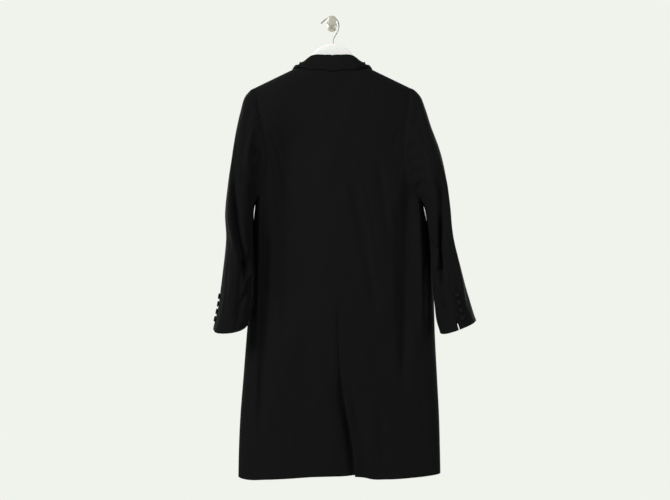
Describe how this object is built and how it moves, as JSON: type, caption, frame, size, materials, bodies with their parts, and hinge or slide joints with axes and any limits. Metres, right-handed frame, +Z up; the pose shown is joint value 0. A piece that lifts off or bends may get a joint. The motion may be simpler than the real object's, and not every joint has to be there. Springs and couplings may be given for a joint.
{
  "type": "wool coat on a hanger with a wall knob",
  "caption": "Knee-length tailored wool coat with collar, two-piece sleeves and back vent, on a plain hanger hung from a wall knob.",
  "frame": {"origin": "centre of the knob's flat foot, on the wall", "axes": "+Z up, +Y into the wall, +X to the right as seen facing the wall; the coat's back faces -Y and its front faces the wall"},
  "size_m": [0.6403, 0.141, 1.1365],
  "materials": {
    "wool": "matt brushed black melton wool",
    "button": "satin black horn-like resin",
    "hanger_plastic": "smooth white moulded plastic",
    "hook_wire": "thin bright steel wire",
    "knob_metal": "satin nickel"
  },
  "bodies": {
    "root": {"back_left": "wool", "back_right": "wool", "front_left": "wool", "front_right": "wool", "lapel_left": "wool", "lapel_right": "wool", "collar": "wool", "sleeve_left_top": "wool", "sleeve_left_under": "wool", "sleeve_right_top": "wool", "sleeve_right_under": "wool", "cuff_button_left_1": "button", "cuff_button_left_2": "button", "cuff_button_left_3": "button", "cuff_button_left_4": "button", "cuff_button_right_1": "button", "cuff_button_right_2": "button", "cuff_button_right_3": "button", "cuff_button_right_4": "button", "front_button_1": "button", "front_button_2": "button", "front_button_3": "button", "hanger": "hanger_plastic", "hanger_hook": "hook_wire", "wall_knob": "knob_metal"}
  },
  "joints": []
}
